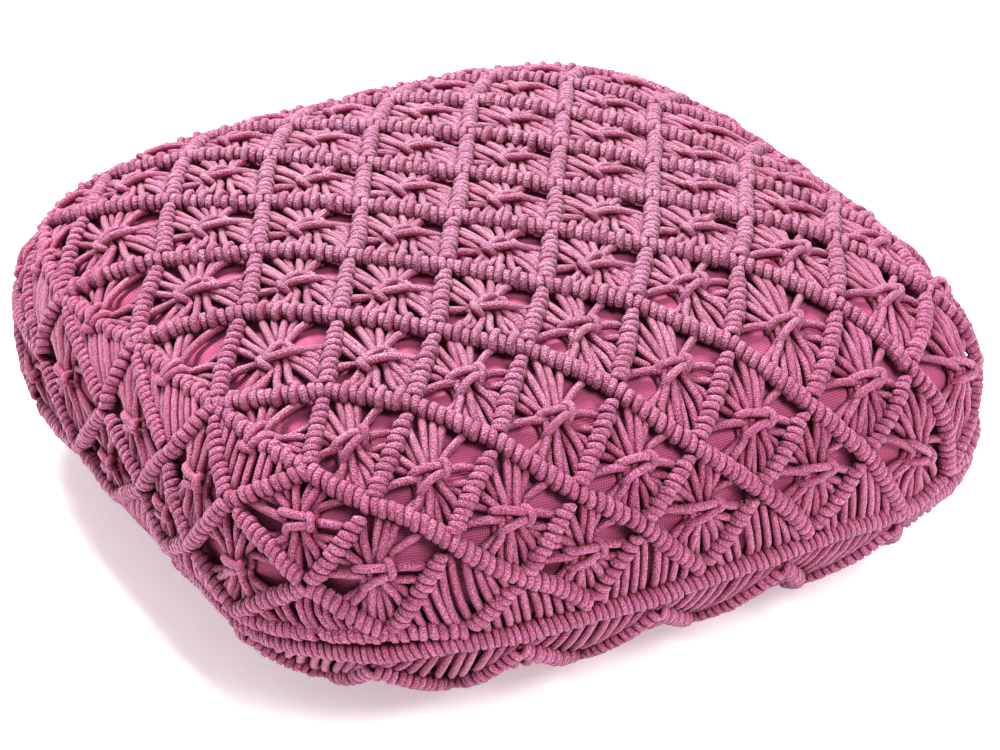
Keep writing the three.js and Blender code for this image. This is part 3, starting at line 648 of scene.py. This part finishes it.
def side_panel(side):
    panel = Panel()
    front, back = ("right", "left") if side == "left" else ("left", "right")
    bump = 1 if side == "left" else -1

    def corner(level, step):
        return side_corner(side, level, step)

    for step in range(SIDE_CELLS):
        hung = Cell({front: corner("chain", step), back: corner("chain", step + 1),
                     "bottom": corner("lower", step)})
        lay_ribs(panel, hung, back)
        straight(hung, panel.strands, upper=False)
        low = Cell({"top": corner("lower", step), front: corner("middle", step),
                    back: corner("middle", step + 1), "bottom": corner("foot", step)})
        lay_ribs(panel, low, back)
        star(low, panel.strands, panel.knots, bump, compact=True)
    for step in range(1, SIDE_CELLS):
        high = Cell({"top": corner("chain", step), front: corner("lower", step - 1),
                     back: corner("lower", step), "bottom": corner("middle", step)})
        lay_ribs(panel, high, back)
        star(high, panel.strands, panel.knots, bump, compact=True)
        foot = Cell({"top": corner("middle", step), front: corner("foot", step - 1),
                     back: corner("foot", step)})
        lay_ribs(panel, foot, back)
        straight(foot, panel.strands, lower=False)
    return panel


def strip_panel():
    panel = Panel()
    last_row = len(STRIP_ROWS) - 1
    for row in range(1, last_row):
        for column in range(FIRST_COLUMN, LAST_COLUMN + 1):
            if (column + row) % 2:
                strip_cell(panel, column, row)
    for column in range(FIRST_COLUMN, LAST_COLUMN + 1):
        at_front = column % 2 == 0
        row = last_row if at_front else 0
        key = "top" if at_front else "bottom"
        left = (side_corner("left", "foot", SIDE_CELLS - 1) if column == FIRST_COLUMN
                else strip_corner(column - 1, row))
        right = (side_corner("right", "foot", SIDE_CELLS - 1) if column == LAST_COLUMN
                 else strip_corner(column + 1, row))
        cell = Cell({"left": left, "right": right,
                     key: strip_corner(column, row - 1 if at_front else 1)})
        lay_ribs(panel, cell, "right")
        straight(cell, panel.strands, upper=at_front, lower=not at_front)
    for edge in (FIRST_COLUMN, LAST_COLUMN):
        for row in range(BACK_EDGE_ROW, FRONT_EDGE_ROW, 2):
            rib(panel.knots, strip_corner(edge, row)[1], strip_corner(edge, row + 2)[1], "chain")
    return panel


def strip_cell(panel, column, row):
    corners = {"top": strip_corner(column, row - 1), "bottom": strip_corner(column, row + 1)}
    on_left, on_right = column == FIRST_COLUMN, column == LAST_COLUMN
    if not on_left:
        corners["left"] = strip_corner(column - 1, row)
    if not on_right:
        corners["right"] = strip_corner(column + 1, row)
    if on_left or on_right:
        side = "left" if on_left else "right"
        if row == FRONT_EDGE_ROW + 1:
            corners[side] = side_corner(side, "lower", 0)
        if row == FRONT_EDGE_ROW + 3:
            corners[side] = side_corner(side, "foot", 0)
        if row == BACK_EDGE_ROW - 1:
            corners[side] = side_corner(side, "lower", SIDE_CELLS - 1)
    cell = Cell(corners)
    lay_ribs(panel, cell, "right")
    on_top = row < FRONT_EDGE_ROW    # the back wall has the top's kind of knot too
    if row == FRONT_EDGE_ROW + 3 and column in STRAIGHT_COLUMNS:
        straight(cell, panel.strands)
    elif len(corners) == 4:
        star(cell, panel.strands, panel.knots, -1 if on_top else 1, on_top)
    else:
        star(cell, panel.strands, panel.knots, -1 if on_left else 1, whole=False)


# The base band: the bar, the hem, and between them the skirt's ribs, in waves round the base
BAR_HEIGHT, HEM_HEIGHT, HEM_WAVE = 70, 8, 1.5
BAR_SWAY, LONG_SWAYS, SHORT_SWAYS, LONG_SWAY_START = 0.9, 9, 23, 1.0
SKIRT_WAVES, SKIRT_PHASE = 21, 0.66
SKIRT_BELOW_BAR, SKIRT_FOOT = 13, 17
RING_STEPS, STEP_AHEAD = 6001, 0.0004
BAR_PITCH, BAR_SPREAD = 3.9, 0.54
BAR_HITCHES = {"pitch": BAR_PITCH, "reach": 4.4, "lift": 1.0, "slant": 1.5,
               "half_width": BAR_PITCH * BAR_SPREAD, "steps": 9}
SKIRT_HITCHES = {"pitch": 4.9, "reach": 3.5, "lift": 0.6}
HEM_HITCHES = {"pitch": 4.9, "reach": 3.2, "lift": -3.0}
# The skirt's strands, from behind the bar down to the hem: the lean as a share of the way
# round, then for each mark its part of the lean and its lift
SKIRT_STRANDS, STRAND_JITTER, SKIRT_STEPS = 225, 0.08, 11
BEHIND_BAR, UNDER_BAR = 2, 9
SKIRT_LEAN = 0.008
LEAN_PARTS = (1, 0.8, 0.3, 0, -0.3, -0.5)
SKIRT_LIFTS = (-9.0, -6.6, -6.2, -8.4, -6.6, -9.0)
# The band is lower round the side walls and tucked in under their middle: places
# round the base, and the share of the drop or tuck there
DROP_PLACES = (0.0, 0.09, 0.115, 0.385, 0.42, 0.595, 0.65, 0.81, 0.86, 1.0)
DROP_SHARES = (1, 1, 0, 0, 1, 1, 0, 0, 1, 1)
TUCK_PLACES = (0.0, 0.06, 0.09, 0.41, 0.44, 0.555, 0.585, 0.915, 0.945, 1.0)
TUCK_SHARES = (1, 1, 0, 0, 1, 1, 0, 0, 1, 1)
SIDE_DROP, SIDE_TUCK = 11, 7


def side_drop(share):
    return SIDE_DROP * np.interp(np.asarray(share) % 1, DROP_PLACES, DROP_SHARES)


def side_tuck(share):
    return SIDE_TUCK * np.interp(np.asarray(share) % 1, TUCK_PLACES, TUCK_SHARES)


def bar_height(share):
    sway = (np.sin(share * 2 * math.pi * LONG_SWAYS + LONG_SWAY_START)
            + np.sin(share * 2 * math.pi * SHORT_SWAYS))
    return BAR_HEIGHT + BAR_SWAY * sway - side_drop(share)


def skirt_wave(share):
    """0 where the skirt's ribs are at their foot and 1 where they reach the bar."""
    return np.abs(2 * ((share * SKIRT_WAVES + SKIRT_PHASE) % 1) - 1)


def skirt_rib_height(share):
    top = bar_height(share) - SKIRT_BELOW_BAR
    return SKIRT_FOOT + (top - SKIRT_FOOT) * skirt_wave(share)


def hem_height(share):
    return HEM_HEIGHT + HEM_WAVE * skirt_wave(share)


def ring_shares(height, pitch):
    """Places round the base, evenly spaced along a rib that rises and falls."""
    fine = np.linspace(0, 1, RING_STEPS)
    path = around(fine, height(fine))
    length = np.concatenate([[0], np.cumsum(np.linalg.norm(np.diff(path, axis=0), axis=1))])
    number = int(length[-1] / pitch)
    return np.interp(np.arange(number) / number * length[-1], length, fine)


def ring_rib(cords, height, pitch, reach, lift, **options):
    """Hitches all round the base."""
    shares = ring_shares(height, pitch)
    centres = around(shares, height(shares))
    ahead = around(shares + STEP_AHEAD, height(shares + STEP_AHEAD))
    hitches(cords, centres, ahead - centres, reach, lift - side_tuck(shares), **options)


def base_band():
    bar, skirt, hem = Cords(), Cords(), Cords()
    ring_rib(bar, bar_height, **BAR_HITCHES)
    ring_rib(hem, skirt_rib_height, **SKIRT_HITCHES)
    ring_rib(hem, hem_height, **HEM_HITCHES)
    strand = np.arange(SKIRT_STRANDS) + chance.normal(0, STRAND_JITTER, SKIRT_STRANDS)
    strand = strand / SKIRT_STRANDS
    foot, top = skirt_rib_height(strand), bar_height(strand)
    heights = (top - BEHIND_BAR, top - UNDER_BAR, (foot + top - UNDER_BAR) / 2, foot,
               (foot + HEM_HEIGHT) / 2, HEM_HEIGHT)
    rows = [np.stack(np.broadcast_arrays(strand + SKIRT_LEAN * part, height, lift), axis=-1)
            for part, height, lift in zip(LEAN_PARTS, heights, SKIRT_LIFTS)]
    marks = smooth(np.stack(rows, axis=1), SKIRT_STEPS)
    spots = around(marks[..., 0], marks[..., 1])
    ups = outward(spots)
    lift = marks[..., 2] - side_tuck(marks[..., 0])
    skirt.add(spots + ups * lift[..., None], ups, CORD_RADIUS, CORD_RADIUS)
    return bar, skirt, hem


# The casing: its size, and how far it swells at this far from the nearest rib. Below the
# bar's height it is tucked in with the band, more and more over this much
CASING_HALF_WIDTH, CASING_CROWN_RISE, CASING_BASE_DROP = 238.5, 98, 96
CASING_HALF_SIZES = (CASING_HALF_WIDTH, CASING_HALF_WIDTH, CASING_CROWN_RISE)
CASING_CUTS = 95
SWELL, SWELL_FROM, SWELL_TO = 2.6, 13, 21
CASING_TUCK_OVER = 20


def casing_piece(material):
    """A stuffed form, flat where it rests, that swells a little between the ribs."""
    solid = bmesh.new()
    bmesh.ops.create_cube(solid, size=2)
    bmesh.ops.subdivide_edges(solid, edges=solid.edges[:], cuts=CASING_CUTS, use_grid_fill=True)
    mesh = bpy.data.meshes.new("casing_canvas")
    solid.to_mesh(mesh)
    solid.free()
    weave = mesh.uv_layers.new(name="weave_uv")
    for face in mesh.polygons:
        facing = max(range(3), key=lambda axis: abs(face.center[axis]))
        first, second = (axis for axis in range(3) if axis != facing)
        for corner in face.loop_indices:
            spot = mesh.vertices[mesh.loops[corner].vertex_index].co
            weave.data[corner].uv = (spot[first] * CASING_HALF_SIZES[first] * MM,
                                     spot[second] * CASING_HALF_SIZES[second] * MM)
    points = np.empty(len(mesh.vertices) * 3)
    mesh.vertices.foreach_get("co", points)
    points = onto_cover(MIDDLE + points.reshape(-1, 3) * (HALF_WIDTH, HALF_WIDTH, CROWN_RISE))
    ups = outward(points)
    above = points[:, 2] > WAIST_HEIGHT
    smaller = np.full(points.shape, CASING_HALF_WIDTH / HALF_WIDTH)
    smaller[:, 2] = np.where(above, CASING_CROWN_RISE / CROWN_RISE, CASING_BASE_DROP / BASE_DROP)
    points = MIDDLE + (points - MIDDLE) * smaller
    ribs = np.concatenate(rib_lines)
    tree = KDTree(len(ribs))
    for place, spot in enumerate(ribs):
        tree.insert(spot, place)
    tree.balance()
    apart = np.array([tree.find(spot)[2] for spot in points])
    swell = SWELL * np.clip((apart - SWELL_FROM) / (SWELL_TO - SWELL_FROM), 0, 1)
    points = points + ups * (swell * (points[:, 2] > BAR_HEIGHT))[:, None]
    turn = np.arctan2(points[:, 1], points[:, 0]) % (2 * math.pi)
    share = np.interp(turn, OUTLINE_TURN, OUTLINE_SHARE)
    below = np.interp(points[:, 2], (BAR_HEIGHT - CASING_TUCK_OVER, BAR_HEIGHT), (1, 0))
    points = points - ups * (side_tuck(share) * below)[:, None]
    points[:, 2] = np.maximum(points[:, 2], 0)
    mesh.vertices.foreach_set("co", (points * MM).ravel())
    mesh.polygons.foreach_set("use_smooth", np.ones(len(mesh.polygons), bool))
    mesh.update()
    mesh.materials.append(material)
    return set_in_scene("casing_canvas", mesh)


# Finishes
# The crease colours are painted shade, mixed in where cloth lies close to cloth
CORD_COLOURS = {"deep": (0.368, 0.114, 0.212), "light": (0.455, 0.172, 0.288),
                "flank": (0.380, 0.058, 0.140), "fleck": (0.22, 0.014, 0.06),
                "crease": (0.20, 0.001, 0.022)}
CANVAS_COLOURS = {"yarn": (0.53, 0.185, 0.30), "gap": (0.34, 0.075, 0.155),
                  "crease": (0.15, 0.001, 0.024)}
SHEEN_COLOUR = (1.0, 0.90, 0.95)
# Painted sheen: the top is coloured paler, standing in for the whitish sheen of light on it:
# heights in metres where that starts and is full
PAINTED_SHEEN_FROM, PAINTED_SHEEN_FULLY = 0.15, 0.195
PAINTED_SHEEN_TINT = (0.96, 1.37, 1.14)
# Stitches to the metre along a cord and to its round, and how much they vary in tone
STITCHES, STITCH_JITTER, STITCH_TONES = (860, 13, 1), 0.9, (0.78, 1.22)
# Spans of a stitch from its middle: where the fleck fades out, and how its height shows
FLECK_SPAN, STITCH_SPAN = (0.12, 0.38), (0.1, 0.6)
# Spans of the cord's flank, where shade is painted, to its outward side, of the weave from gap to
# yarn, and of the open air that reaches a crease, over which painted shade fades out
FLANK_SHADE_SPAN, YARN_SPAN, CREASE_SPAN = (-0.3, 0.9), (0.5, 1.8), (0.20, 0.75)
# In metres: how near cloth makes a crease that gets painted shade, and the relief of stitches and
# weave
CORD_CREASE, CANVAS_CREASE, RELIEF = 0.007, 0.0025, 0.0005
WEAVE = {"Scale": 220, "Distortion": 0.8, "Detail": 1, "Detail Scale": 3}
CREASE_SAMPLES = 6


def settle(node, values):
    """Link each named socket to another node's result, or set it to a number or colour."""
    for name, value in values.items():
        socket = node.inputs[name]
        if isinstance(value, bpy.types.NodeSocket):
            socket.id_data.links.new(value, socket)
        else:
            socket.default_value = (*value, 1) if socket.type == "RGBA" else value
    return node


def ranged(tree, value, span, low=0, high=1):
    """How far a value is along a span, given from low to high."""
    node = settle(tree.nodes.new("ShaderNodeMapRange"), {
        "Value": value, "From Min": span[0], "From Max": span[1], "To Min": low, "To Max": high})
    return node.outputs["Result"]


def mixed(tree, share, first, second, blend="MIX"):
    """Two colours mixed by a share."""
    node = tree.nodes.new("ShaderNodeMix")
    node.data_type, node.blend_type = "RGBA", blend
    return settle(node, {"Factor": share, "A": first, "B": second}).outputs["Result"]


def raised(tree, height, strength):
    node = settle(tree.nodes.new("ShaderNodeBump"), {
        "Strength": strength, "Distance": RELIEF, "Height": height})
    return node.outputs["Normal"]


def worked_out(tree, operation, *values):
    node = tree.nodes.new("ShaderNodeMath")
    node.operation = operation
    return settle(node, dict(enumerate(values))).outputs[0]


def axis_of(tree, vector, axis):
    return settle(tree.nodes.new("ShaderNodeSeparateXYZ"), {"Vector": vector}).outputs[axis]


def uv_place(tree, name):
    node = tree.nodes.new("ShaderNodeUVMap")
    node.uv_map = name
    return node.outputs["UV"]


def effect(tree, group, values):
    """A shared effect set in a material. Gives back its results."""
    node = tree.nodes.new("ShaderNodeGroup")
    node.node_tree = group
    return settle(node, values).outputs


def new_effect(name, sockets):
    """An empty shared effect with its sockets: name, way and kind."""
    group = bpy.data.node_groups.new(name, "ShaderNodeTree")
    for socket, way, kind in sockets:
        group.interface.new_socket(socket, in_out=way, socket_type=f"NodeSocket{kind}")
    source, result = group.nodes.new("NodeGroupInput"), group.nodes.new("NodeGroupOutput")
    return group, source.outputs, result


def new_material(name):
    material = bpy.data.materials.new(name)
    material.use_nodes = True
    tree = material.node_tree
    return material, tree, tree.nodes["Principled BSDF"]


def knitted_surface():
    """Knitted stitches round a cord: a dark fleck in each, a height and a tone."""
    group, given, result = new_effect("knitted_stitches", (
        ("Place", "INPUT", "Vector"), ("Fleck", "OUTPUT", "Float"),
        ("Height", "OUTPUT", "Float"), ("Stitch Tone", "OUTPUT", "Float")))
    stitches = settle(group.nodes.new("ShaderNodeMapping"), {
        "Vector": given["Place"], "Scale": STITCHES})
    cells = group.nodes.new("ShaderNodeTexVoronoi")
    cells.voronoi_dimensions = "2D"
    settle(cells, {"Vector": stitches.outputs["Vector"], "Scale": 1, "Randomness": STITCH_JITTER})
    each = settle(group.nodes.new("ShaderNodeSeparateColor"), {"Color": cells.outputs["Color"]})
    settle(result, {
        "Fleck": ranged(group, cells.outputs["Distance"], FLECK_SPAN, 1, 0),
        "Height": ranged(group, cells.outputs["Distance"], STITCH_SPAN),
        "Stitch Tone": ranged(group, each.outputs["Red"], (0, 1), *STITCH_TONES)})
    return group


def painted_crease_shade():
    """Painted shade: colour that deepens where cloth lies close to cloth, as shade gathers there.
    """
    group, given, result = new_effect("painted_crease_shade", (
        ("Colour", "INPUT", "Color"), ("Crease", "INPUT", "Color"), ("Reach", "INPUT", "Float"),
        ("Colour", "OUTPUT", "Color")))
    # Painted shade: ambient occlusion tells how near other cloth lies
    nearness = group.nodes.new("ShaderNodeAmbientOcclusion")
    nearness.samples = CREASE_SAMPLES
    settle(nearness, {"Distance": given["Reach"]})
    share = ranged(group, nearness.outputs["AO"], CREASE_SPAN)
    settle(result, {"Colour": mixed(group, share, given["Crease"], given["Colour"])})
    return group


def cord_material(name, colours, knitted, creases):
    """Knitted cord, with painted shade darker on its flanks than along its outward side, and a
    painted sheen paler on the top.
    """
    material, tree, shader = new_material(name)
    place = uv_place(tree, "cord_uv")
    turn = worked_out(tree, "MULTIPLY", axis_of(tree, place, "Y"), 2 * math.pi)
    outward_side = ranged(tree, worked_out(tree, "SINE", turn), FLANK_SHADE_SPAN)
    knit = effect(tree, knitted, {"Place": place})
    tone = tree.nodes.new("ShaderNodeAttribute")
    tone.attribute_name = "tone"
    spot = tree.nodes.new("ShaderNodeTexCoord").outputs["Object"]
    # Painted sheen: cords high on the top are tinted paler, as the light's sheen would show
    on_top = ranged(tree, axis_of(tree, spot, "Z"), (PAINTED_SHEEN_FROM, PAINTED_SHEEN_FULLY))
    colour = mixed(tree, tone.outputs["Fac"], colours["deep"], colours["light"])
    colour = mixed(tree, on_top, colour, PAINTED_SHEEN_TINT, "MULTIPLY")
    # Painted shade: the flank colour darkens each cord's sides away from its outward side
    colour = mixed(tree, outward_side, colours["flank"], colour)
    colour = mixed(tree, knit["Fleck"], colour, colours["fleck"])
    colour = mixed(tree, 1, colour, knit["Stitch Tone"], "MULTIPLY")
    # The crease colour is painted shade, mixed in where other cloth is near
    shaded = effect(tree, creases, {"Colour": colour, "Crease": colours["crease"],
                                    "Reach": CORD_CREASE})
    settle(shader, {"Base Color": shaded["Colour"], "Normal": raised(tree, knit["Height"], 0.8),
                    "Roughness": 0.56, "Specular IOR Level": 0.55,
                    "Specular Tint": SHEEN_COLOUR, "Sheen Weight": 0.3,
                    "Sheen Roughness": 0.35, "Sheen Tint": SHEEN_COLOUR})
    return material


def canvas_material(name, colours, creases):
    """Plain weave, with yarns standing up both ways."""
    material, tree, shader = new_material(name)
    place = uv_place(tree, "weave_uv")
    yarns = []
    for direction in ("X", "Y"):
        wave = tree.nodes.new("ShaderNodeTexWave")
        wave.bands_direction = direction
        yarns.append(settle(wave, {"Vector": place, **WEAVE}).outputs["Fac"])
    yarn = ranged(tree, worked_out(tree, "ADD", *yarns), YARN_SPAN)
    colour = mixed(tree, yarn, colours["gap"], colours["yarn"])
    # The crease colour is painted shade, mixed in where other cloth is near
    shaded = effect(tree, creases, {"Colour": colour, "Crease": colours["crease"],
                                    "Reach": CANVAS_CREASE})
    settle(shader, {"Base Color": shaded["Colour"], "Normal": raised(tree, yarn, 0.5),
                    "Roughness": 0.9, "Specular IOR Level": 0.2})
    return material


# Camera, floor and light, in metres and degrees
CAMERA_AZIMUTH, CAMERA_ELEVATION, CAMERA_DISTANCE = -29.51, 29.94, 1.8384
CAMERA_TARGET, LIGHT_TARGET = Vector((0, 0, 0.08)), Vector((0, 0, 0.1))
LENS, SENSOR_WIDTH, LENS_SHIFT = 111.3, 36, (0.0126, -0.0122)
FLOOR_HALF_SIZE, FLOOR_COLOUR, FLOOR_GLOW = 6.0, (0.93, 0.93, 0.93), 0.3
SURROUND_LIGHT = 0.39
# Place, size and power of each lamp
LAMPS = {"key_light": ((-0.2, 1.2, 2.3), 0.8, 82), "fill_light": ((0.4, -1.95, 2.1), 1.2, 48)}


def set_camera():
    azimuth, elevation = math.radians(CAMERA_AZIMUTH), math.radians(CAMERA_ELEVATION)
    back = Vector((math.sin(azimuth) * math.cos(elevation),
                   -math.cos(azimuth) * math.cos(elevation), math.sin(elevation)))
    view = bpy.data.cameras.new("camera")
    view.lens, view.sensor_width = LENS, SENSOR_WIDTH
    view.shift_x, view.shift_y = LENS_SHIFT
    camera = set_in_scene("camera", view)
    camera.location = CAMERA_TARGET + back * CAMERA_DISTANCE
    camera.rotation_euler = back.to_track_quat("Z", "Y").to_euler()
    bpy.context.scene.camera = camera
    bpy.context.scene.view_settings.view_transform = "Standard"
    bpy.context.scene.view_settings.look = "High Contrast"


def set_floor():
    mesh = bpy.data.meshes.new("floor")
    corners = [(x * FLOOR_HALF_SIZE, y * FLOOR_HALF_SIZE, 0)
               for x, y in ((-1, -1), (1, -1), (1, 1), (-1, 1))]
    mesh.from_pydata(corners, [], [(0, 1, 2, 3)])
    finish, _, shader = new_material("pale_floor")
    settle(shader, {"Base Color": FLOOR_COLOUR, "Roughness": 0.9, "Emission Color": (1, 1, 1),
                    "Emission Strength": FLOOR_GLOW})
    mesh.materials.append(finish)
    floor = set_in_scene("floor", mesh)


def set_lights():
    world = bpy.data.worlds.new("studio")
    world.use_nodes = True
    settle(world.node_tree.nodes["Background"], {"Color": (1, 1, 1), "Strength": SURROUND_LIGHT})
    bpy.context.scene.world = world
    for name, (place, size, power) in LAMPS.items():
        lamp = bpy.data.lights.new(name, "AREA")
        lamp.size, lamp.energy = size, power
        light = set_in_scene(name, lamp)
        light.location = place
        aim = Vector(place) - LIGHT_TARGET
        light.rotation_euler = aim.to_track_quat("Z", "Y").to_euler()


# The scene
set_camera()
set_floor()
set_lights()

knitted, creases = knitted_surface(), painted_crease_shade()
cord_pink = cord_material("cotton_cord_pink", CORD_COLOURS, knitted, creases)
canvas_pink = canvas_material("canvas_pink", CANVAS_COLOURS, creases)

panels = {"macrame_side_left": side_panel("left"), "macrame_side_right": side_panel("right"),
          "macrame_strip": strip_panel()}
for node, panel in panels.items():
    for part in ("ribs", "crossings", "strands", "knots"):
        piece = getattr(panel, part).piece(f"{node}_{part}", cord_pink)
        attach(piece, "root")
        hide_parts(node)
for part, cords in zip(("bar", "skirt", "hem"), base_band()):
    piece = cords.piece(f"base_{part}", cord_pink)
    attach(piece, "root")
    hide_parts("macrame_base_band")

casing = casing_piece(canvas_pink)
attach(casing, "root")
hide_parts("casing")
